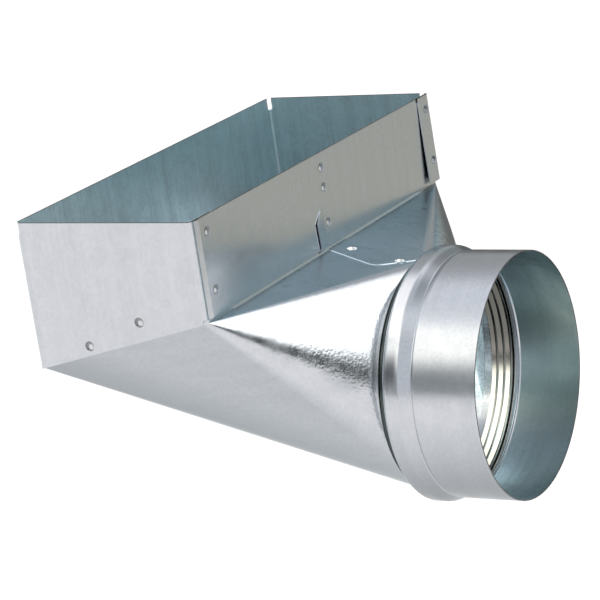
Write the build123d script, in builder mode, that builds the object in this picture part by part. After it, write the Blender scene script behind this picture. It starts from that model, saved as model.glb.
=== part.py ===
"""Register boot: a galvanised sheet-metal fitting that turns a round duct up into a floor register.

The rectangular mouth faces up and the round collar points sideways. The origin is the middle of the
mouth, in the plane of its rim: +Z is out of the mouth, +X is the way the collar points, and Y runs
along the mouth's long side. All sizes are in millimetres.
"""

import os
from math import acos, atan2, degrees, hypot

from build123d import *

# Sheet stock and the way it is worked
sheet = 0.5  # thickness of the galvanised sheet
lap_gap = 0.1  # air left between two lapped sheets
bend_radius = 1.5  # inside radius of a folded corner

# Mouth, measured inside the box
mouth_width = 101.6
mouth_length = 254.0
back_depth = 76.2  # rim to the foot of the back wall
front_depth = 50.8  # rim to the foot of the front wall

# Round end
collar_diameter = 127.0  # outside of the plain sleeve
collar_drop = 118.0  # rim down to the axis of the collar
collar_reach = 155.0  # middle of the mouth out to the end of the sleeve
sleeve_length = 34.0  # plain part of the collar
bead_height = 2.4  # rolled bead above the sleeve
bead_rise = 2.0  # its steep side, above the lip
bead_crest = 8.0
bead_fall = 7.5  # its easy side, down to the sleeve
bead_fold = 3.0  # radius at the turns of the bead
groove_depth = 0.5  # crease pressed in where the bead meets the sleeve
groove_width = 1.0
groove_fold = 0.6
lip_length = 1.2  # short cylinder that grips the neck
lip_fold = 0.8
neck_step = 3.0  # how much smaller the neck is than the sleeve, on the radius
neck_bare = 1.0  # neck in view before the lip
neck_length = 4.0  # cylinder at the end of the taper
ridge_length = 3.6  # each rolled ridge that locks the neck inside the bead
ridge_climb = 1.6  # out to the top of a ridge
ridge_dip = 0.6  # and back before the next
ridge_count = 3

# Rear frame: back wall and both end walls, folded from one strip
near_flange = 18.0  # tucked behind the front panel
far_flange = 13.5  # folded over the front panel
flange_lean = 1.4  # how far the far flange stands off at its foot
relief_width = 2.2  # slit at each back corner of the rim
relief_depth = 7.0

# Front panel
panel_inset = 2.6  # near end of the frame to the raw edge of the panel
panel_clear = 1.5  # far edge of the panel to the outside of the far end wall
front_seam = 1.8  # raw lower edge of the panel above the taper
edge_width = 3.4  # strip along the near edge that leans down to the frame
edge_slope = 0.8  # jog that lifts it
edge_lift = 0.8
edge_fold = 0.6
flap_hinge = 4.0  # flap lanced up from the panel: its root, left of the middle
flap_angle = 7.0
flap_top = 29.0  # below the rim
flap_elbow = 35.0
flap_reach = (7.0, 12.7, 11.8)  # from the middle: its top corner, its elbow, its foot

# Taper from the box to the neck
taper_corner = 2.5  # corner radius where it leaves the box
touch_length = 1.5  # short flat where each facet meets the neck
flange_height = 16.0  # flange inside the end walls and the back wall
front_flange_height = 6.0  # flange behind the front panel
flange_notch_x = 11.0  # cut away at each corner of the flange, across and along
flange_notch_y = 24.0
fold_width = 1.2  # soft fold between the front flange and the upper facet
tab_width = 16.0  # tall tab behind the middle of the front panel
tab_top = 3.0  # its upper edge below the rim

# Lap: the outer end of the taper's sheet, lying on the upper facet
lap_root = 4.0  # half width at the front wall
lap_swell = 17.5  # left edge at its widest
lap_swell_run = 34.0  # how far out that is
lap_run = 50.0
lap_corner = 7.0
lap_tip = 1.0  # left end of the squared-off tip
lap_right = 14.0
lap_sunk = 0.1  # bedded into the sheet below it
lap_bevel = 40.0  # its edge, worn to a slope

# Clinched dimples, pressed from outside
clinch_radius = 2.6  # pocket in the outermost sheet
clinch_depth = 0.8
clinch_high = 8.0  # below the rim
clinch_low = 37.0
near_clinch_inset = 12.5  # from the outside of the near end wall
far_clinch_inset = 5.5
tab_clinch_low = 18.5
end_clinches = ((-19.0, 5.0), (12.5, 10.0))  # place across, height above the foot of the wall
back_clinch_pitch = 85.0
back_clinch_lift = 6.0
slope_clinches = ((11.5, 1.5), (42.5, -6.0))  # out from the front wall, across the lap

# Faces and radii that follow from the sizes above
frame_x = mouth_width / 2 + sheet
frame_y = mouth_length / 2 + sheet
panel_face = frame_x
near_flange_face = panel_face - sheet - lap_gap
far_flange_face = panel_face + sheet + lap_gap
seat_x = mouth_width / 2 - lap_gap
seat_y = mouth_length / 2 - lap_gap
tab_face = panel_face - sheet - lap_gap
panel_foot = front_depth - front_seam
fold_start = seat_x - bend_radius - 2 * sheet

sleeve_radius = collar_diameter / 2
neck_radius = sleeve_radius - neck_step
lip_radius = neck_radius + lap_gap + sheet
crest_radius = sleeve_radius + bead_height
sleeve_start = collar_reach - sleeve_length
crest_end = sleeve_start - bead_fall
crest_start = crest_end - bead_crest
bead_start = crest_start - bead_rise
lip_start = bead_start - lip_length
neck_start = lip_start - neck_bare

floor_fall = (collar_drop + neck_radius - back_depth) / (neck_start + seat_x)
slope_fall = (collar_drop - neck_radius - front_depth) / (neck_start - seat_x)
slope_normal = Vector(slope_fall, 0, 1).normalized()
lap_thickness = 2 * sheet - lap_sunk

neck_plane = Plane(origin=(neck_start, 0, -collar_drop), x_dir=(0, 1, 0), z_dir=(1, 0, 0))
axis_plane = Plane(origin=(0, 0, -collar_drop), x_dir=(1, 0, 0), z_dir=(0, -1, 0))
collar_axis = Axis((0, 0, -collar_drop), (1, 0, 0))


def seat_edges(inset):
    """Front and back edge of the taper's upper end, for the outside (0) or the inside of the sheet."""
    front = Vector(seat_x - inset, 0, -front_depth - inset)
    floor_rise = inset * hypot(1, floor_fall) - inset * floor_fall
    back = Vector(inset - seat_x, 0, -back_depth + floor_rise)
    return front, back


def seat_plane(inset=0.0):
    """Slanted plane through both edges: the front wall is shallower than the back wall."""
    front, back = seat_edges(inset)
    across = (front - back).normalized()
    return Plane(origin=(front + back) * 0.5, x_dir=across, z_dir=across.cross(Vector(0, 1, 0)))


def facet_angle(radius):
    """Where the flat facet below an end wall touches the neck, as an angle from its horizontal."""
    front, back = seat_edges(0.0)
    rise = (front.Z - back.Z) / (front.X - back.X)
    height = front.Z + rise * (neck_start - front.X) + collar_drop
    reach = hypot(seat_y, height)
    return degrees(atan2(height, seat_y) - acos(radius / reach))


def taper_body(inset, flange, mode=Mode.ADD):
    """Solid of the taper: four flat facets on the edges of the seat, four cones from its corners."""
    front, back = seat_edges(inset)
    radius = neck_radius - inset
    with BuildSketch(seat_plane(inset)) as seat:
        RectangleRounded((front - back).length, 2 * (seat_y - inset), taper_corner - inset)
    side = facet_angle(radius)
    half_touch = degrees(touch_length / 2 / radius)
    touches = [90, 180 - side, 270, 360 + side, 450]
    with BuildSketch(neck_plane) as neck:
        with BuildLine():
            for start, end in zip(touches, touches[1:]):
                cone_end = CenterArc((0, 0), radius, start + half_touch, end - start - 2 * half_touch)
                Line(cone_end @ 1, Vector(radius, 0).rotate(Axis.Z, end + half_touch))
        make_face()
    loft([seat.sketch, neck.sketch], ruled=True, mode=mode)
    extrude(seat.sketch, amount=flange, dir=(0, 0, 1), mode=mode)


def press_clinch(face_plane, layer=0, thickness=sheet):
    """Dimple the sheet whose outside is face_plane; each layer down is wider, to nest the one above."""
    pocket = clinch_radius + layer * (sheet + 2 * lap_gap)
    with BuildSketch(face_plane) as boss:
        Circle(pocket + sheet)
    extrude(boss.sketch, amount=-clinch_depth - thickness)
    with BuildSketch(face_plane) as dimple:
        Circle(pocket)
    extrude(dimple.sketch, amount=-clinch_depth, mode=Mode.SUBTRACT)


def front_mark(face, y, depth):
    """Plane on a face of the front wall."""
    return Plane(origin=(face, y, -depth), x_dir=(0, 1, 0), z_dir=(1, 0, 0))


def far_flange_mark(y, depth):
    """Plane on the outside of the far flange, which leans outwards."""
    face = far_flange_face + flange_lean * depth / panel_foot
    return Plane(origin=(face, y, -depth), x_dir=(0, 1, 0), z_dir=(panel_foot, 0, flange_lean))


def back_mark(face, y):
    """Plane on a face of the back wall, low down."""
    return Plane(origin=(-face, y, back_clinch_lift - back_depth), x_dir=(0, 1, 0), z_dir=(-1, 0, 0))


def end_mark(face, side, x, lift):
    """Plane on a face of an end wall, above its slanted foot; side is -1 for the near wall."""
    foot = -back_depth + (back_depth - front_depth) * (x + seat_x) / (2 * seat_x)
    return Plane(origin=(x, side * face, foot + lift), x_dir=(1, 0, 0), z_dir=(0, side, 0))


def slope_mark(out, y):
    """Plane on top of the lap, where it lies on the taper's upper facet."""
    lap_top = (lap_thickness - sheet) / slope_normal.Z
    height = lap_top - front_depth - slope_fall * out
    return Plane(origin=(seat_x + out, y, height), x_dir=(0, 1, 0), z_dir=slope_normal)


near_corner_marks = [(near_clinch_inset - frame_y, clinch_high), (near_clinch_inset - frame_y, clinch_low)]
far_y = frame_y - far_clinch_inset
tab_marks = [(0, clinch_high), (0, tab_clinch_low), (0, clinch_low)]
back_marks = [-back_clinch_pitch, 0, back_clinch_pitch]
end_marks = [(side, x, lift) for side in (-1, 1) for x, lift in end_clinches]

# Rear frame: one strip folded into a U, with a flange at each front corner
with BuildPart() as rear_frame:
    with BuildSketch() as plan:
        with BuildLine():
            FilletPolyline(
                (near_flange_face, near_flange - frame_y),
                (near_flange_face, -frame_y),
                (-frame_x, -frame_y),
                (-frame_x, frame_y),
                (fold_start, frame_y),
                radius=bend_radius + sheet,
            )
            offset(amount=sheet, side=Side.RIGHT)
        make_face()
    extrude(amount=-back_depth)
    split(bisect_by=seat_plane(), keep=Keep.TOP)
    # Both flanges stop short of the taper, as the front panel does
    with BuildSketch(Plane.XY.offset(-panel_foot)) as flange_foot:
        with Locations((seat_x - bend_radius, 0)):
            Rectangle(seat_x, 2 * frame_y, align=(Align.MIN, Align.CENTER))
    extrude(amount=-back_depth, mode=Mode.SUBTRACT)
    # The far flange is folded along a line that leans out, so it gapes at its foot
    with BuildSketch() as flange_plan:
        with BuildLine():
            FilletPolyline(
                (fold_start - flange_lean, frame_y),
                (far_flange_face, frame_y),
                (far_flange_face, frame_y - far_flange),
                radius=bend_radius + sheet,
            )
            offset(amount=sheet, side=Side.RIGHT)
        make_face()
    fold_line = Vector(flange_lean, 0, -panel_foot)
    extrude(flange_plan.sketch, amount=fold_line.length, dir=fold_line.normalized())
    # Relief slits let the back corners fold without tearing
    with BuildSketch(Plane.YZ.offset(-frame_x)) as relief:
        with Locations((frame_y - relief_width / 2, 0), (relief_width / 2 - frame_y, 0)):
            SlotOverall(2 * relief_depth, relief_width, rotation=90)
    extrude(amount=relief_width, both=True, mode=Mode.SUBTRACT)
    for y, depth in near_corner_marks:
        press_clinch(front_mark(near_flange_face, y, depth), layer=1)
    for depth in (clinch_high, clinch_low):
        press_clinch(far_flange_mark(far_y, depth))
    for y in back_marks:
        press_clinch(back_mark(frame_x, y))
    for side, x, lift in end_marks:
        press_clinch(end_mark(frame_y, side, x, lift))
rear_frame.part.label = "rear_frame"

# Front panel: over the near flange, with a raised edge there, and under the far flange
with BuildPart() as front_panel:
    raw_edge = panel_inset - frame_y
    with BuildSketch() as panel_plan:
        with BuildLine():
            FilletPolyline(
                (panel_face, frame_y - panel_clear),
                (panel_face, raw_edge + edge_width + edge_slope),
                (panel_face + edge_lift, raw_edge + edge_width),
                (panel_face, raw_edge),
                radius=edge_fold,
            )
            offset(amount=sheet, side=Side.RIGHT)
        make_face()
    extrude(amount=-panel_foot)
    hinge_line = Vector(panel_face, -flap_hinge, 0)
    swung = Vector(0, -1, 0).rotate(Axis.Z, flap_angle)
    with BuildSketch(Plane(origin=hinge_line, x_dir=swung, z_dir=swung.cross(Vector(0, 0, 1)))) as flap:
        top_reach, elbow_reach, foot_reach = flap_reach
        with BuildLine():
            Polyline(
                (0, -flap_top),
                (top_reach - flap_hinge, -flap_top),
                (elbow_reach - flap_hinge, -flap_elbow),
                (foot_reach - flap_hinge, -panel_foot),
                (0, -panel_foot),
                close=True,
            )
        make_face()
    extrude(flap.sketch, amount=sheet)
    for y, depth in near_corner_marks + tab_marks:
        press_clinch(front_mark(panel_face, y, depth))
    # Only the upper clinch of the far flange reaches the panel
    press_clinch(front_mark(panel_face, far_y, clinch_high), layer=1)
front_panel.part.label = "front_panel"

# Taper: one sheet wrapped round and lapped on top, flanged into the box and necked into the collar
with BuildPart() as taper:
    taper_body(0.0, flange_height)
    taper_body(sheet, 2 * flange_height, mode=Mode.SUBTRACT)
    # Flange in four flaps, with the corners notched out down to a low upstand
    with BuildSketch(seat_plane().offset(front_seam - 2 * lap_gap)) as notches:
        with GridLocations(2 * seat_x, 2 * seat_y, 2, 2):
            Rectangle(2 * flange_notch_x, 2 * flange_notch_y)
    extrude(amount=2 * flange_height, dir=(0, 0, 1), mode=Mode.SUBTRACT)
    with BuildSketch(Plane.XY.offset(front_flange_height - front_depth)) as front_trim_plan:
        with Locations((seat_x, 0)):
            Rectangle(2 * flange_notch_x, 2 * seat_y)
    extrude(amount=flange_height, mode=Mode.SUBTRACT)
    with BuildSketch(Plane.XZ) as front_fold:
        with Locations((seat_x, -front_depth)):
            Polygon((0, 0), (fold_width, -slope_fall * fold_width), (0, fold_width), align=None)
    extrude(front_fold.sketch, amount=seat_y - flange_notch_y, both=True)
    with BuildSketch(Plane.YZ.offset(tab_face)) as tab:
        with Locations((0, -tab_top)):
            Rectangle(tab_width, front_depth - tab_top - lap_gap, align=(Align.CENTER, Align.MAX))
    extrude(amount=-sheet)
    with BuildSketch(axis_plane) as neck_section:
        with BuildLine():
            ridges = [(neck_start, neck_radius), (neck_start + neck_length, neck_radius)]
            for _ in range(ridge_count):
                foot_x, foot_radius = ridges[-1]
                top = (foot_x + ridge_length / 2, foot_radius + ridge_climb)
                ridges += [top, (foot_x + ridge_length, top[1] - ridge_dip)]
            Polyline(ridges)
            offset(amount=sheet, side=Side.RIGHT, kind=Kind.INTERSECTION)
        make_face()
    revolve(axis=collar_axis)
    with BuildSketch(slope_mark(lap_gap, 0)) as lap:
        with BuildLine():
            FilletPolyline(
                (-lap_root, 0),
                (-lap_swell, -lap_swell_run),
                (-lap_tip, -lap_run),
                (lap_right, -lap_run),
                (lap_right, 0),
                radius=lap_corner,
            )
            Line((lap_right, 0), (-lap_root, 0))
        make_face()
    extrude(lap.sketch, amount=-sheet, taper=-lap_bevel)
    for y, depth in tab_marks:
        press_clinch(front_mark(tab_face, y, depth), layer=1)
    for out, y in slope_clinches:
        press_clinch(slope_mark(out, y), thickness=lap_thickness)
    for y in back_marks:
        press_clinch(back_mark(seat_x, y), layer=1)
    for side, x, lift in end_marks:
        press_clinch(end_mark(seat_y, side, x, lift), layer=1)
taper.part.label = "taper"

# Collar: a round sleeve with a rolled bead, its lip gripping the neck of the taper
with BuildPart() as collar:
    with BuildSketch(axis_plane) as collar_section:
        with BuildLine():
            FilletPolyline(
                (lip_start, lip_radius),
                (bead_start, lip_radius),
                (crest_start, crest_radius),
                (crest_end, crest_radius),
                (sleeve_start - groove_width, sleeve_radius - groove_depth),
                (sleeve_start, sleeve_radius),
                (collar_reach, sleeve_radius),
                radius=(lip_fold, bead_fold, bead_fold, groove_fold, groove_fold),
            )
            offset(amount=sheet, side=Side.RIGHT)
        make_face()
    revolve(axis=collar_axis)
collar.part.label = "collar"

os.makedirs("parts", exist_ok=True)
export_step(rear_frame.part, "parts/rear_frame.step")
export_step(front_panel.part, "parts/front_panel.step")
export_step(taper.part, "parts/taper.step")
export_step(collar.part, "parts/collar.step")
for piece in (rear_frame.part, front_panel.part, taper.part, collar.part):
    print(piece.label, "solids", len(piece.solids()), "volume", round(piece.volume), "valid", piece.is_valid)
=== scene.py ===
# %% [markdown]
# A register boot is folded from thin galvanised sheet. It turns a round duct up into the rectangular hole
# of a floor register. Every piece of it is a plain sheet, so the solids of the part already have its shape,
# and this lesson is about the zinc finish, the studio round it and the camera.

import math

import bpy
from mathutils import Matrix, Vector


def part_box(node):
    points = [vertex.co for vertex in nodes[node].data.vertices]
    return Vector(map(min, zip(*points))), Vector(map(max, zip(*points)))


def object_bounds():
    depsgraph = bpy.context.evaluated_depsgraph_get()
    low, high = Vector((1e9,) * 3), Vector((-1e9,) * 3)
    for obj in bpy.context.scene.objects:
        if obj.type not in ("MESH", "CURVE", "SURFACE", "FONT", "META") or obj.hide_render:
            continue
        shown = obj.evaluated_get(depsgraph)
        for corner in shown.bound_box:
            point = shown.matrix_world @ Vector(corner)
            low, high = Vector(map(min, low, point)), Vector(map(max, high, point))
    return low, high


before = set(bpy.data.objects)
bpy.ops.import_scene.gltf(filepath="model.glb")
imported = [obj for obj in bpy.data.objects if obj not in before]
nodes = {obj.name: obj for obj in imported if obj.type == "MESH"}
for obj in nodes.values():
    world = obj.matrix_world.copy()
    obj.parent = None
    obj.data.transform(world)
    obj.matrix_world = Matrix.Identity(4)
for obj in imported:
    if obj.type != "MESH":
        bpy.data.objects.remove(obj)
cad_low, cad_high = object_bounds()
print("pieces", sorted(nodes), "box", cad_low, cad_high)

# %% [markdown]
# Shader maths is easier to read as plain expressions than as a list of nodes. This small class holds one
# socket of a node tree. Adding or multiplying two of them adds a Math node, and `add` makes any other node.


# %% A socket that can be used in expressions
class Wire:
    """One socket of a node tree, so that 1 - mask * 0.5 adds the Math nodes that work it out."""

    def __init__(self, tree, socket=None):
        self.tree = tree
        self.socket = socket

    def add(self, kind, inputs=None, output=0, stops=None, **settings):
        """A new node: its settings and its colour stops first, then a value or a wire for each socket."""
        node = self.tree.nodes.new(kind)
        for name, value in settings.items():
            setattr(node, name, value)
        if stops:
            row = node.color_ramp.elements
            row.remove(row[1])
            row[0].position = stops[0][0]
            for place, _ in stops[1:]:
                row.new(place)
            for stop, (_, colour) in zip(row, stops):
                stop.color = (*colour, 1.0)
        for key, value in (inputs or {}).items():
            if isinstance(value, Wire):
                self.tree.links.new(value.socket, node.inputs[key])
            else:
                node.inputs[key].default_value = value
        return Wire(self.tree, node.outputs[output] if len(node.outputs) else None)

    def math(self, operation, first, second):
        return self.add("ShaderNodeMath", {0: first, 1: second}, operation=operation)

    def __add__(self, other):
        return self.math("ADD", self, other)

    def __radd__(self, other):
        return self.math("ADD", other, self)

    def __sub__(self, other):
        return self.math("SUBTRACT", self, other)

    def __rsub__(self, other):
        return self.math("SUBTRACT", other, self)

    def __mul__(self, other):
        return self.math("MULTIPLY", self, other)

    def __rmul__(self, other):
        return self.math("MULTIPLY", other, self)

    def __neg__(self):
        return 0.0 - self

    def __abs__(self):
        return self.math("ABSOLUTE", self, 0.0)

    def above(self, edge):
        """One where this value is over the edge, and nothing elsewhere."""
        return self.math("GREATER_THAN", self, edge)

    def between(self, low, high):
        """One where this value lies between the two, and nothing elsewhere."""
        return self.above(low) * (1 - self.above(high))

    def eased(self, start, end):
        """From 0 at the start to 1 at the end, smoothly."""
        inputs = {"Value": self, "From Min": start, "From Max": end}
        return self.add("ShaderNodeMapRange", inputs, interpolation_type="SMOOTHSTEP")

    def band(self, rise, fall):
        """From 0 to 1 along the first stretch and back to 0 along the second, smoothly."""
        return self.eased(*rise) * (1 - self.eased(*fall))

    def mixed(self, first, second):
        """A colour that goes from the first to the second as this value goes from 0 to 1."""
        inputs = {"Factor": self, "A": first, "B": second}
        return self.add("ShaderNodeMix", inputs, output="Result", data_type="RGBA")


print("expressions ready")

# %% [markdown]
# The finish changes from place to place: the painted reflection is only inside, and painted shade lies only in
# the crevice. Such masks could be painted by hand. Here they are worked out from where a point lies on the part,
# in metres, so they stay sharp however near the camera comes. On the round end, places are taken from the edge
# of the lip and from the axis of the collar.

# %% Places on the part
SHEET = 0.0005  # thickness of every piece
SLEEVE_RADIUS = 0.0635
SLEEVE_LENGTH = 0.0338
NECK_RADIUS = 0.0605
CREVICE_SPAN = (-0.0015, 0.0009)  # from the edge of the lip, as are the next two
LIP_SPAN = (0.0009, 0.0020)
RIDGES_FROM = 0.0029

frame_low, frame_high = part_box("rear_frame")
collar_low, collar_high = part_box("collar")
axis_height = (collar_low[2] + collar_high[2]) / 2
lip_edge = collar_low[0]


def off_axis(y, z):
    """The square of the distance from the collar's axis."""
    lift = z - axis_height
    return y * y + lift * lift


def crevice(x):
    """The gap between the neck of the taper and the lip of the collar, where shade is painted."""
    return (x - lip_edge).between(*CREVICE_SPAN)


print("lip at", round(lip_edge, 4), "axis at", round(axis_height, 4))

# %% [markdown]
# The sheets are held together by clinches: a punch presses a small cup through both of them. The cups are in the
# solids. Each cup also gets painted light, a painted shade ring and a painted highlight spot, and each needs a
# round mask.

# %% Clinches
END_WALL, BACK_WALL, FRONT_PANEL, FAR_FLANGE = 0.127, -0.051, 0.051, 0.0522  # the faces they are pressed in
HIGH_CLINCH, TAB_CLINCH, LOW_CLINCH = -0.008, -0.0185, -0.037  # heights in the front panel
NEAR_CLINCH, MIDDLE_CLINCH, FAR_CLINCH = -0.115, 0.0, 0.122  # places along the front panel
END_CLINCHES = ((-0.019, -0.0633), (0.0125, -0.0504))
BACK_PITCH, BACK_CLINCH = 0.085, -0.0702
CLINCH_REACH = 0.0036  # the cup, pressed from outside, keeps the outer finish as far as this
RING_REACH = 0.0025
SPOT_REACH = 0.0014
SPOT_SHIFT = Vector((0.0003, 0.0004, -0.0006))  # from the middle of the cup to its painted highlight spot
# Painted shade for the ring round each clinch.
PAINTED_RING_SHADE = (0.26, 0.27, 0.28, 1.0)

frame_cups = [(x, side * END_WALL, z) for side in (-1, 1) for x, z in END_CLINCHES]
frame_cups += [(BACK_WALL, step * BACK_PITCH, BACK_CLINCH) for step in (-1, 0, 1)]
far_cups = [(FAR_FLANGE, FAR_CLINCH, z) for z in (HIGH_CLINCH, LOW_CLINCH)]
panel_cups = [(FRONT_PANEL, y, z) for y in (NEAR_CLINCH, MIDDLE_CLINCH) for z in (HIGH_CLINCH, LOW_CLINCH)]
panel_cups += [(FRONT_PANEL, MIDDLE_CLINCH, TAB_CLINCH)]
lap_cups = [(0.0622, 0.0015, -0.0519), (0.0932, -0.0060, -0.0560)]


def clear_of(place, cups, reach=CLINCH_REACH):
    """Nothing at each of the clinches, and one elsewhere."""
    mask = 1.0
    for cup in cups:
        away = place.add("ShaderNodeVectorMath", {0: place, 1: cup}, output="Value", operation="DISTANCE")
        mask = away.above(reach) * mask
    return mask


def cup_painted_light(place, cups, spot_colour):
    """Each clinch gets a painted shade ring round its cup, and a painted highlight spot on the floor of its cup."""
    spots = [Vector(cup) + SPOT_SHIFT for cup in cups]
    return [(1 - clear_of(place, cups, RING_REACH), PAINTED_RING_SHADE), (1 - clear_of(place, spots, SPOT_REACH), spot_colour)]


print("clinches", len(frame_cups), len(far_cups), len(panel_cups), len(lap_cups))

# %% [markdown]
# The inside of the boot gets a painted blue-green reflection. Two materials on each piece could show this, but the
# solids have one. So each piece gets a mask that is one on its inner faces, with a painted reflection tint there.
# The walls of the box come first, with painted light that makes them lighter towards the near end.

# %% Painted reflection inside the box
# Painted reflection for the inner faces, and a lighter one near the near end as painted light.
PAINTED_INSIDE_REFLECTION = (0.650, 0.800, 0.845, 1.0)
PAINTED_INSIDE_LIGHT_NEAR = (0.920, 1.000, 1.000, 1.0)
NEAR_END = (-0.125, -0.010)  # the painted reflection darkens from the near end wall to here
BEND_START = 0.0480  # the end walls turn into their flanges here
CORNER_CUT = 0.00123  # between the outside and the inside of the bend at a back corner


def frame_painted_reflection(place, x, y, z):
    """Painted reflection on the inner faces of the back wall and the end walls, with painted light towards the near
    end.
    """
    within_ends = 1 - (y * y).above((frame_high[1] - SHEET / 2) ** 2)
    within_sides = x.between(frame_low[0] + SHEET / 2, BEND_START)
    within_corners = 1 - (abs(y) - x).above(frame_high[1] - frame_low[0] - CORNER_CUT)
    mask = within_ends * within_sides * within_corners * clear_of(place, frame_cups)
    return mask, y.eased(*NEAR_END).mixed(PAINTED_INSIDE_LIGHT_NEAR, PAINTED_INSIDE_REFLECTION)


def panel_painted_reflection(place, x, y, z):
    """Painted reflection on the inner face of the front panel, which is as far out as the back wall is back."""
    return (1 - x.above(-frame_low[0] - SHEET / 2)) * clear_of(place, panel_cups), PAINTED_INSIDE_REFLECTION


print("film on the box, tints", PAINTED_INSIDE_REFLECTION[:3], PAINTED_INSIDE_LIGHT_NEAR[:3])

# %% [markdown]
# The round end has a painted reflection inside the sleeve. The taper has painted light on the far side of its
# throat, and a painted reflection on the flange that stands up behind the front panel.

# %% Painted reflection and light inside the round end
# Painted reflection inside the sleeve, painted light on the far throat, and a painted reflection on the flange.
PAINTED_SLEEVE_REFLECTION = (0.440, 0.560, 0.550, 1.0)
PAINTED_SLEEVE_REFLECTION_LOW = (0.720, 0.910, 1.000, 1.0)
PAINTED_SLEEVE_REFLECTION_TOP = (0.480, 0.630, 0.670, 1.0)
PAINTED_THROAT_LIGHT = (0.950, 1.000, 1.000, 1.0)
PAINTED_FLANGE_REFLECTION = (0.720, 0.950, 1.000, 1.0)
THROAT_ALONG = (0.050, 0.075)
THROAT_ACROSS = (0.030, 0.055)
THROAT_TOP = (0.018, 0.033)  # above the collar's axis, as are the next two
SLEEVE_LOW = (-0.062, -0.035)
SLEEVE_TOP = (0.000, 0.050)
FLANGE_REACH = 0.110  # to either side of the middle
FOLD_FOOT = -0.0513
FOLD_SPAN = (0.0506, 0.0519)  # the flange turns into the upper facet along this fold


def taper_painted_light(place, x, y, z):
    """Painted light on the far side of the throat, and a painted reflection on the flange behind the front panel.
    """
    along = x.eased(*THROAT_ALONG) * (1 - x.above(lip_edge + RIDGES_FROM))
    throat = along * y.eased(*THROAT_ACROSS) * (1 - (z - axis_height).eased(*THROAT_TOP))
    flange = z.above(FOLD_FOOT) * (1 - x.above(FOLD_SPAN[0])) * (1 - (y * y).above(FLANGE_REACH ** 2))
    return throat + flange, flange.mixed(PAINTED_THROAT_LIGHT, PAINTED_FLANGE_REFLECTION)


def collar_painted_reflection(place, x, y, z):
    """Painted reflection on the inside of the round sleeve, bluer at the bottom and at the top."""
    lift = z - axis_height
    within_sleeve = 1 - off_axis(y, z).above((SLEEVE_RADIUS - SHEET / 2) ** 2)
    painted_tint = lift.eased(*SLEEVE_LOW).mixed(PAINTED_SLEEVE_REFLECTION_LOW, PAINTED_SLEEVE_REFLECTION)
    mask = within_sleeve * x.above(collar_high[0] - SLEEVE_LENGTH)
    return mask, lift.eased(*SLEEVE_TOP).mixed(painted_tint, PAINTED_SLEEVE_REFLECTION_TOP)


print("film on the round end, tints", PAINTED_SLEEVE_REFLECTION[:3], PAINTED_THROAT_LIGHT[:3])

# %% [markdown]
# Marks go over the zinc and the painted reflection inside. Each is a mask and a colour, and a later one covers an
# earlier one. The box has painted shade rings and highlight spots at its clinches, and a dark line along its rim,
# where the shears cut through the zinc to the steel.

# %% Marks on the box
ZINC = (0.585, 0.612, 0.642, 1.0)
# Painted highlight, for the clinches, the crest of the bead and the edge of the lip.
PAINTED_HIGHLIGHT = (0.95, 0.95, 0.95, 1.0)
CUT_STEEL = (0.10, 0.105, 0.11, 1.0)


def cut_rim(z):
    """The rim of the mouth, which is at height 0."""
    return z.above(-SHEET / 2), CUT_STEEL


def frame_marks(place, x, y, z):
    """The painted shade rings and highlight spots of the clinches, and the cut rim."""
    return cup_painted_light(place, frame_cups + far_cups, ZINC) + [cut_rim(z)]


def panel_marks(place, x, y, z):
    """The painted shade rings and highlight spots of the clinches, brighter than those of the frame, and the cut
    rim.
    """
    return cup_painted_light(place, panel_cups, PAINTED_HIGHLIGHT) + [cut_rim(z)]


print("marks on the box ready")

# %% [markdown]
# The taper takes the most bending. It gets painted shade along its low edge and in the crease beside the collar,
# and a painted reflection on its upper facet, darker towards the far end. The fold under the front panel is a
# painted highlight line. The ridges of the neck get a painted highlight below and painted shade on top.

# %% Marks on the taper, all of them painted light and shade
# Painted shade for the low edge and for the crease.
PAINTED_FOOT_SHADE = (0.38, 0.41, 0.43, 1.0)
PAINTED_CREASE_SHADE = (0.36, 0.385, 0.405, 1.0)
# Painted reflection on the upper facet, lighter near and darker far.
PAINTED_FACET_REFLECTION_NEAR = (0.450, 0.545, 0.610, 1.0)
PAINTED_FACET_REFLECTION_FAR = (0.275, 0.370, 0.412, 1.0)
# Painted highlight for the fold under the front panel.
PAINTED_SEAM_HIGHLIGHT = (0.66, 0.595, 0.57, 1.0)
# Painted highlight below the ridges and painted shade on top.
PAINTED_RIDGES_HIGHLIGHT = (0.58, 0.56, 0.50, 1.0)
PAINTED_RIDGES_SHADE = (0.15, 0.15, 0.135, 1.0)
# Painted shade in the crevice between the neck and the lip.
PAINTED_CREVICE_SHADE = (0.07, 0.085, 0.085, 1.0)
FACET_FALL, FACET_HEIGHT, FACET_DEPTH = 0.1324, -0.0440, 0.0004  # the plane of the upper facet, and how near to it
FACET_ACROSS = (0.010, 0.075)
FACET_COVER = 0.7
LOW_FALL, LOW_HEIGHT = 0.674, -0.1106  # the plane of the lowest facet
FOOT_RISE = 0.045
FOOT_COVER = 0.8
CREASE_ALONG = (0.080, 0.096)
CREASE_RISE, CREASE_TOP = (0.012, 0.022), (0.028, 0.042)  # above the collar's axis
CREASE_COVER = 0.8
SEAM_START = -0.1025
RIDGES_RISE = (-0.032, 0.003)
LAP_REACH = 0.0027


def upper_facet(x, z):
    """The flat facet on top of the taper, which falls away from the front panel."""
    off = z + x * FACET_FALL - FACET_HEIGHT
    return off.between(-FACET_DEPTH, FACET_DEPTH) * x.above(FOLD_SPAN[1])


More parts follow.
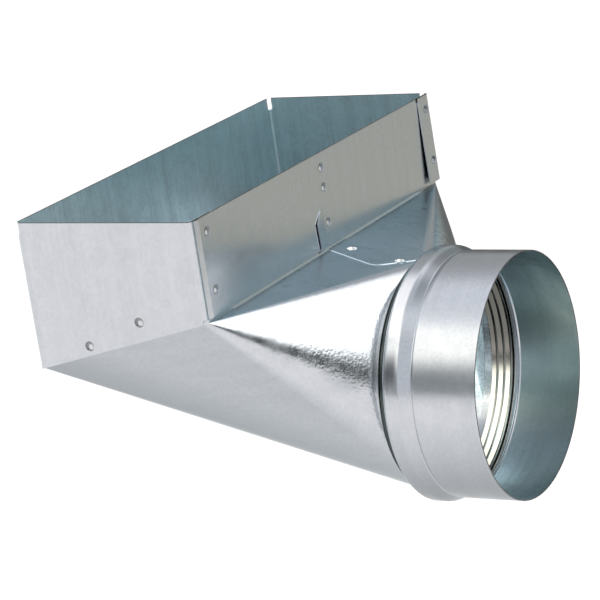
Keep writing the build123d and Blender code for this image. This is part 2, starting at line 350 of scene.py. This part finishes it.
def taper_marks(place, x, y, z):
    """Painted shade on the low edge, the crease and the crevice, a painted reflection on the upper facet, painted
    highlights on the fold and the clinches of the lap, and painted highlight and shade on the ridges.
    """
    lift = z - axis_height
    foot = (1 - (z + x * LOW_FALL - LOW_HEIGHT).eased(0.0, FOOT_RISE)) * FOOT_COVER
    crease = x.eased(*CREASE_ALONG) * lift.band(CREASE_RISE, CREASE_TOP) * CREASE_COVER
    painted_facet_reflection = y.eased(*FACET_ACROSS).mixed(PAINTED_FACET_REFLECTION_NEAR, PAINTED_FACET_REFLECTION_FAR)
    fold = x.between(*FOLD_SPAN) * z.above(FOLD_FOOT) * y.above(SEAM_START)
    painted_ridge_light = lift.eased(*RIDGES_RISE).mixed(PAINTED_RIDGES_HIGHLIGHT, PAINTED_RIDGES_SHADE)
    outside = off_axis(y, z).above((NECK_RADIUS - SHEET / 2) ** 2)
    # Painted shade, a painted reflection and painted highlights, and the light and shade of the ridges.
    return [
        (foot, PAINTED_FOOT_SHADE),
        (crease, PAINTED_CREASE_SHADE),
        (upper_facet(x, z) * FACET_COVER, painted_facet_reflection),
        (fold, PAINTED_SEAM_HIGHLIGHT),
        (x.above(lip_edge + RIDGES_FROM), painted_ridge_light),
        (crevice(x) * outside, PAINTED_CREVICE_SHADE),
        (1 - clear_of(place, lap_cups, LAP_REACH), PAINTED_HIGHLIGHT),
    ]


print("marks on the taper ready")

# %% [markdown]
# A bead is rolled between two wheels. Here its crest gets a painted highlight and its fall, towards the sleeve,
# painted shade. A dark spot is on the near side, the edge of the lip gets a painted highlight, the underside gets
# painted shade, and the rim is cut like that of the mouth.

# %% Marks on the collar, most of them painted light and shade
# Painted shade for the underside and for the fall of the bead.
PAINTED_UNDERSIDE_SHADE = (0.25, 0.265, 0.275, 1.0)
PAINTED_FALL_SHADE = (0.34, 0.355, 0.375, 1.0)
DARK_SPOT = (0.22, 0.23, 0.25, 1.0)
UNDERSIDE_RISE = (-0.056, -0.014)
UNDERSIDE_COVER = 0.65
CREST_ALONG = ((0.0022, 0.0042), (0.0097, 0.0122))  # from the edge of the lip
CREST_AROUND = ((0.034, 0.044), (0.059, 0.063))  # above the collar's axis
CREST_COVER = 0.85
FALL_ALONG, FALL_END = (0.0122, 0.0142), 0.0202
FALL_RISE = (0.048, 0.058)
FALL_COVER = 0.9
DARK_SPOT_ALONG = ((0.0039, 0.0059), (0.0087, 0.0112))
DARK_SPOT_AROUND = ((0.012, 0.022), (0.024, 0.035))


def collar_marks(place, x, y, z):
    """Painted shade on the underside, the fall of the bead and the crevice, painted highlights on the crest and the
    edge of the lip, a dark spot and the cut rim.
    """
    lift = z - axis_height
    out = x - lip_edge
    near_side = 1 - y.above(0.0)
    outside = off_axis(y, z).above((SLEEVE_RADIUS - SHEET / 2) ** 2)
    fall = out.eased(*FALL_ALONG) * (1 - out.above(FALL_END)) * lift.eased(*FALL_RISE) * FALL_COVER
    # Painted shade, painted highlights, a dark spot and the cut rim.
    return [
        (outside * (1 - lift.eased(*UNDERSIDE_RISE)) * UNDERSIDE_COVER, PAINTED_UNDERSIDE_SHADE),
        (out.band(*CREST_ALONG) * lift.band(*CREST_AROUND) * near_side * CREST_COVER, PAINTED_HIGHLIGHT),
        (outside * fall, PAINTED_FALL_SHADE),
        (crevice(x), PAINTED_CREVICE_SHADE),
        (out.between(*LIP_SPAN), PAINTED_HIGHLIGHT),
        (out.band(*DARK_SPOT_ALONG) * lift.band(*DARK_SPOT_AROUND) * near_side, DARK_SPOT),
        (x.above(collar_high[0] - SHEET / 2), CUT_STEEL),
    ]


print("marks on the collar ready")

# %% [markdown]
# Zinc is a bluish grey metal. A coated sheet isn't a mirror: it was rolled, so fine streaks run along it,
# it froze in small crystals called spangle, and it never lies quite flat. The streaks and the crystals change
# the roughness and the colour a little. The unevenness is a bump, so reflections bend as they do in real sheet.
# First come the parts of it that differ from piece to piece.

# %% Roughness, grain and rolling direction
SHEET_ROUGHNESS = 0.22
TAPER_ROUGHNESS = 0.16
FACET_ROUGHNESS = 0.14  # more than the rest of the taper
GRAIN_ALONG = (0.062, 0.090)
GRAIN_TOP = (0.044, 0.056)  # above the collar's axis
GRAIN_HEIGHT = 0.10


def sheet_roughness(x, z):
    """The same all over a piece."""
    return SHEET_ROUGHNESS


def taper_roughness(x, z):
    """The taper is brighter than the box, apart from its upper facet."""
    return TAPER_ROUGHNESS + upper_facet(x, z) * FACET_ROUGHNESS


def taper_grain(x, z):
    """How high the grain stands on the taper: it grows towards the crevice, and the top is smooth."""
    along = x.eased(*GRAIN_ALONG) * (1 - x.above(lip_edge + CREVICE_SPAN[0]))
    return along * (1 - (z - axis_height).eased(*GRAIN_TOP)) * GRAIN_HEIGHT


def unrolled(x, y, z):
    """Places on the collar as if its sheet lay flat: along the axis and round the sleeve."""
    round_sleeve = x.math("ARCTAN2", y, z - axis_height) * SLEEVE_RADIUS
    return x.add("ShaderNodeCombineXYZ", {"X": x, "Y": round_sleeve, "Z": 0.0})


print("roughness", SHEET_ROUGHNESS, "and", TAPER_ROUGHNESS)

# %% [markdown]
# One function makes the material of every piece from these: noise for the streaks, cells for the spangle, then
# the painted reflection inside, the marks with their painted light and shade, and the bump. Streaks are noise that
# is squeezed across the rolling direction.

# %% Galvanised sheet
ZINC_WORN = (0.515, 0.542, 0.572, 1.0)
PAINTED_INSIDE_WORN = (0.250, 0.330, 0.350, 1.0)
INSIDE_ROUGHNESS = 0.10  # more than outside
STREAK_ACROSS = 620.0  # streaks in a metre, across the rolling direction
STREAK_ALONG = 14.0
SMEAR = 0.22  # broad smears, as a part of the streaks
SPANGLE = 170.0  # crystals in a metre
WAVES = 11.0
GRIT = 640.0
STREAK_WEAR, SMEAR_WEAR, CRYSTAL_WEAR, GRIT_WEAR = 0.5, 0.9, 0.2, 1.6  # shares in the colour
PAINTED_INSIDE_WEAR, PAINTED_INSIDE_GRIT = 0.9, 0.5
WEAR_START = 0.3
STREAK_ROUGH, SMEAR_ROUGH, CRYSTAL_ROUGH = 0.08, 0.08, 0.05  # shares in the roughness
WAVE_HEIGHT, STREAK_HEIGHT = 0.55, 0.0006  # in millimetres, as the grain is
BUMP_UNIT = 0.001


def galvanised(name, rolled, painted_inside_light, marks, roughness_of=sheet_roughness, grain=None, curled=False):
    """Galvanised sheet rolled along axis 0, 1 or 2, with a painted reflection on some faces and then marks painted
    over, most of them painted light and shade.
    """
    material = bpy.data.materials.new(name)
    material.use_nodes = True
    material.node_tree.nodes.clear()
    start = Wire(material.node_tree)
    place = start.add("ShaderNodeTexCoord", output="Object")
    x, y, z = (start.add("ShaderNodeSeparateXYZ", {"Vector": place}, output=axis) for axis in "XYZ")
    stretch = [STREAK_ACROSS] * 3
    stretch[rolled] = STREAK_ALONG
    flat = unrolled(x, y, z) if curled else place
    streak_place = start.add("ShaderNodeMapping", {"Vector": flat, "Scale": stretch})
    streak = start.add("ShaderNodeTexNoise", {"Vector": streak_place, "Scale": 1.0, "Detail": 3.0})
    smear = start.add("ShaderNodeTexNoise", {"Vector": streak_place, "Scale": SMEAR, "Detail": 2.0})
    crystal_colour = start.add("ShaderNodeTexVoronoi", {"Vector": place, "Scale": SPANGLE}, output="Color")
    crystal = start.add("ShaderNodeSeparateColor", {"Color": crystal_colour})
    wave = start.add("ShaderNodeTexNoise", {"Vector": place, "Scale": WAVES, "Detail": 1.0})
    grit = start.add("ShaderNodeTexNoise", {"Vector": place, "Scale": GRIT, "Detail": 2.0})

    worn = streak * STREAK_WEAR + smear * SMEAR_WEAR + crystal * CRYSTAL_WEAR - WEAR_START
    speck = grit - 0.5
    colour = (worn + speck * GRIT_WEAR).mixed(ZINC, ZINC_WORN)
    roughness = roughness_of(x, z) + (streak - 0.5) * STREAK_ROUGH + (smear - 0.5) * SMEAR_ROUGH
    roughness = roughness + (crystal - 0.5) * CRYSTAL_ROUGH
    # The inner faces take a painted reflection, which the wear noise varies.
    inside, painted_tint = painted_inside_light(place, x, y, z)
    painted_inside_colour = (worn * PAINTED_INSIDE_WEAR + speck * PAINTED_INSIDE_GRIT - WEAR_START).mixed(painted_tint, PAINTED_INSIDE_WORN)
    colour = inside.mixed(colour, painted_inside_colour)
    roughness = roughness + inside * INSIDE_ROUGHNESS
    for mask, mark_colour in marks(place, x, y, z):
        colour = mask.mixed(colour, mark_colour)
    uneven = wave * WAVE_HEIGHT + streak * STREAK_HEIGHT
    if grain:
        uneven = uneven + grit * grain(x, z)
    bump = start.add("ShaderNodeBump", {"Strength": 1.0, "Distance": BUMP_UNIT, "Height": uneven})
    zinc = start.add("ShaderNodeBsdfPrincipled",
                     {"Base Color": colour, "Roughness": roughness, "Metallic": 1.0, "Normal": bump})
    start.add("ShaderNodeOutputMaterial", {"Surface": zinc})
    return material


print("sheet with", SPANGLE, "crystals in a metre")

# %% [markdown]
# Streaks run upright on the walls of the box, along the collar's axis on the taper, and round the collar. The
# solids keep their meshes, and each only takes its own finish.

# %% Finishes on the pieces
ALONG_COLLAR, ROUND_COLLAR, UPRIGHT = 0, 1, 2

finishes = {
    "rear_frame": galvanised("zinc_rear_frame", UPRIGHT, frame_painted_reflection, frame_marks),
    "front_panel": galvanised("zinc_front_panel", UPRIGHT, panel_painted_reflection, panel_marks),
    "taper": galvanised("zinc_taper", ALONG_COLLAR, taper_painted_light, taper_marks, taper_roughness, taper_grain),
    "collar": galvanised("zinc_collar", ROUND_COLLAR, collar_painted_reflection, collar_marks, curled=True),
}
for piece, finish in finishes.items():
    nodes[piece].data.materials.clear()
    nodes[piece].data.materials.append(finish)
print("finishes", [finish.name for finish in finishes.values()])

# %% [markdown]
# Bright metal shows little of its own: what is seen is the studio round it. A pale floor goes under the part,
# well below it, so that no hard shadow touches the sheet.

# %% Pale floor
FLOOR_DROP = 0.15
FLOOR_SIZE = 16.0
FLOOR_WHITE = (0.94, 0.91, 0.91, 1.0)
FLOOR_ROUGHNESS = 0.9

floor_height = cad_low[2] - FLOOR_DROP
bpy.ops.mesh.primitive_plane_add(size=FLOOR_SIZE, location=(0.0, 0.0, floor_height))
floor = bpy.context.active_object
floor.name = "floor"
paper = bpy.data.materials.new("floor_paper")
paper.use_nodes = True
paper_shader = paper.node_tree.nodes["Principled BSDF"]
paper_shader.inputs["Base Color"].default_value = FLOOR_WHITE
paper_shader.inputs["Roughness"].default_value = FLOOR_ROUGHNESS
floor.data.materials.append(paper)
print("floor at", round(floor_height, 4))

# %% [markdown]
# The room lights the part from every side. In front it is grey near the horizon and brightest half-way up, where
# a big window is, and behind it is an even grey up to the ceiling. That is what gives a round collar its bands:
# the floor below, a dark stripe where the room stands, a bright stripe and a softer ceiling. The stops are heights,
# from 0 straight down to 1 straight up.

# %% Room
CEILING = (1.05, 1.06, 1.12)
SKYLIGHT = (0.62, 0.66, 0.70)
WINDOW = (1.90, 1.84, 1.74)
FRONT = (
    (0.50, (0.33, 0.35, 0.36)),
    (0.65, (0.35, 0.37, 0.38)),
    (0.77, WINDOW),
    (0.88, WINDOW),
    (0.925, CEILING),
    (0.955, CEILING),
    (0.985, SKYLIGHT),
)
BEHIND = (
    (0.50, (0.40, 0.41, 0.40)),
    (0.78, (0.45, 0.46, 0.46)),
    (0.88, (0.58, 0.59, 0.62)),
    (0.935, CEILING),
    (0.955, CEILING),
    (0.985, SKYLIGHT),
)
FRONT_TO_BACK = (-0.30, 0.30)

world = bpy.data.worlds.new("studio")
bpy.context.scene.world = world
world.use_nodes = True
world.node_tree.nodes.clear()
sky = Wire(world.node_tree)
aim = sky.add("ShaderNodeTexCoord", output="Generated")
sideways, depth, rise = (sky.add("ShaderNodeSeparateXYZ", {"Vector": aim}, output=axis) for axis in "XYZ")
height = rise * 0.5 + 0.5
front = sky.add("ShaderNodeValToRGB", {"Fac": height}, stops=FRONT)
behind = sky.add("ShaderNodeValToRGB", {"Fac": height}, stops=BEHIND)
room = depth.eased(*FRONT_TO_BACK).mixed(front, behind)
print("room with", len(FRONT), "tones in front and", len(BEHIND), "behind")

# %% [markdown]
# The rest of the room is laid over that: a dim wall in front, a window high up behind, and a window on each side.
# Lamps could do the same, but bright sheet mirrors their hard edges. Each patch is a product of soft steps along
# the three directions of the room.

# %% Wall and windows
DIM_WALL = (0.76, 0.78, 0.83, 1.0)
DIM_SIDEWAYS = ((-0.10, 0.20), (0.50, 0.70))
DIM_FORWARD = (0.30, 0.60)
HIGH_WINDOW = (2.0, 2.0, 2.0, 1.0)
HIGH_SIDEWAYS = (0.05, 0.42)
HIGH_DEPTH = (0.20, 0.45)
HIGH_RISE = ((0.55, 0.70), (0.86, 0.94))
SIDE_WINDOW = (2.5, 2.5, 2.45, 1.0)
RIGHT_SIDEWAYS = (0.48, 0.74)
LEFT_SIDEWAYS = (0.72, 0.90)
SILL = (0.02, 0.10)

dim_wall = sideways.band(*DIM_SIDEWAYS) * (-depth).eased(*DIM_FORWARD) * rise.above(0.0)
high_window = sideways.eased(*HIGH_SIDEWAYS) * depth.eased(*HIGH_DEPTH) * rise.band(*HIGH_RISE)
right_window = sideways.eased(*RIGHT_SIDEWAYS) * rise.eased(*SILL)
left_window = (-sideways).eased(*LEFT_SIDEWAYS) * rise.eased(*SILL)
patches = (
    (dim_wall, DIM_WALL),
    (high_window, HIGH_WINDOW),
    (right_window, SIDE_WINDOW),
    (left_window, SIDE_WINDOW),
)
for patch, patch_tone in patches:
    room = patch.mixed(room, patch_tone)
glow = sky.add("ShaderNodeBackground", {"Color": room, "Strength": 1.0})
sky.add("ShaderNodeOutputWorld", {"Surface": glow})
print("patches over the room", len(patches))

# %% [markdown]
# A few places need a tone of their own in the mirror of the sheet. Boards that only reflections see give it, and
# they throw no shadow. A board glows by itself, so its tone doesn't depend on the room.


# %% Boards that only reflections see
def unseen_board(name, place, size):
    """A flat board that only reflections see, with an empty node tree to paint it in."""
    bpy.ops.mesh.primitive_plane_add(size=1.0)
    board = bpy.context.active_object
    board.name = name
    board.matrix_world = place @ Matrix.Diagonal((*size, 1.0, 1.0))
    board.visible_camera = False
    board.visible_diffuse = False
    board.visible_shadow = False
    material = bpy.data.materials.new(name)
    material.use_nodes = True
    material.node_tree.nodes.clear()
    board.data.materials.append(material)
    return Wire(material.node_tree)


def glow_on(paint, tone, cover=1.0):
    """Finish a board: a tone that glows by itself, and how much of the board covers what is behind."""
    shader = paint.add("ShaderNodeBsdfPrincipled", {"Base Color": (0.0, 0.0, 0.0, 1.0), "Roughness": 1.0,
                                                    "Specular IOR Level": 0.0, "Emission Color": tone,
                                                    "Emission Strength": 1.0, "Alpha": cover})
    paint.add("ShaderNodeOutputMaterial", {"Surface": shader})


def card(name, at, size, tones):
    """An upright card that faces the part, its tones from the lower edge to the upper one."""
    away = Vector((at[0], at[1], 0.0)).normalized()
    across = Vector((0.0, 0.0, 1.0)).cross(away)
    turn = Matrix((across, (0.0, 0.0, 1.0), -away)).transposed().to_4x4()
    paint = unseen_board(name, Matrix.Translation(at) @ turn, size)
    place = paint.add("ShaderNodeTexCoord", output="Generated")
    up_card = paint.add("ShaderNodeSeparateXYZ", {"Vector": place}, output="Y")
    glow_on(paint, paint.add("ShaderNodeValToRGB", {"Fac": up_card}, stops=tones))


def shade(name, at, size, tone):
    """A round shade lying on the floor, fading out towards its edge."""
    paint = unseen_board(name, Matrix.Translation(at), size)
    place = paint.add("ShaderNodeTexCoord", output="Object")
    spread = paint.add("ShaderNodeMapping", {"Vector": place, "Scale": (2.0, 2.0, 2.0)})
    fade = paint.add("ShaderNodeTexGradient", {"Vector": spread}, output="Fac", gradient_type="SPHERICAL")
    glow_on(paint, tone, fade)


print("boards ready")

# %% [markdown]
# The front panel mirrors what stands behind the part on the right, the far side of the taper what stands
# straight behind, and the bend of the taper what stands low on the right. A card goes in each place, and a soft
# round shade goes on the floor under the part.

# %% Cards and shade
RIGHT_TONES = (
    (0.00, (0.54, 0.535, 0.465)),
    (0.40, (0.53, 0.525, 0.465)),
    (0.58, (0.36, 0.49, 0.53)),
    (1.00, (0.34, 0.47, 0.51)),
)
RIGHT_AT, RIGHT_SIZE = (0.50, 0.72, 0.0), (1.3, 1.2)
BACK_TONES = ((0.00, (0.14, 0.145, 0.145)), (1.00, (0.16, 0.165, 0.165)))
BACK_AT, BACK_SIZE = (-0.35, 1.15), (3.0, 0.5)
LOW_TONES = ((0.00, (0.02, 0.032, 0.036)), (0.62, (0.03, 0.042, 0.046)), (1.00, (0.90, 0.92, 0.93)))
LOW_AT, LOW_SIZE = (2.40, -0.20), (2.6, 0.434)
SHADE_TONE = (0.76, 0.78, 0.79, 1.0)
SHADE_AT, SHADE_SIZE = (-0.05, 0.10), (1.2, 1.2)
SHADE_LIFT = 0.003  # off the floor

card("right_card", RIGHT_AT, RIGHT_SIZE, RIGHT_TONES)
card("back_card", (*BACK_AT, floor_height + BACK_SIZE[1] / 2), BACK_SIZE, BACK_TONES)
card("low_card", (*LOW_AT, floor_height + LOW_SIZE[1] / 2), LOW_SIZE, LOW_TONES)
shade("floor_shade", (*SHADE_AT, floor_height + SHADE_LIFT), SHADE_SIZE, SHADE_TONE)
print("cards and shade in place")

# %% [markdown]
# The camera stands where the photographer's did: to the right of the near end, a little above, far away with
# a long lens. The picture is also turned a little, so that upright edges lean.

# %% Camera
AZIMUTH = math.radians(31.2)
ELEVATION = math.radians(15.9)
ROLL = math.radians(-8.47)
DISTANCE = 1.3027
LENS = 149.4  # in millimetres, as the sensor is
SENSOR = 36.0
AIM = Vector((0.0318, -0.0074, -0.0775))

back = Vector((math.sin(AZIMUTH) * math.cos(ELEVATION), -math.cos(AZIMUTH) * math.cos(ELEVATION),
               math.sin(ELEVATION)))
level = Vector((0.0, 0.0, 1.0)).cross(back).normalized()
upright = back.cross(level)
right = level * math.cos(ROLL) + upright * math.sin(ROLL)
up = upright * math.cos(ROLL) - level * math.sin(ROLL)
turned = Matrix((right, up, back)).transposed().to_4x4()

camera_data = bpy.data.cameras.new("camera")
camera_data.lens = LENS
camera_data.sensor_width = SENSOR
camera = bpy.data.objects.new("camera", camera_data)
bpy.context.scene.collection.objects.link(camera)
camera.matrix_world = Matrix.Translation(AIM + back * DISTANCE) @ turned
bpy.context.scene.camera = camera
bpy.context.scene.view_settings.view_transform = "Standard"
print("camera at", camera.location)
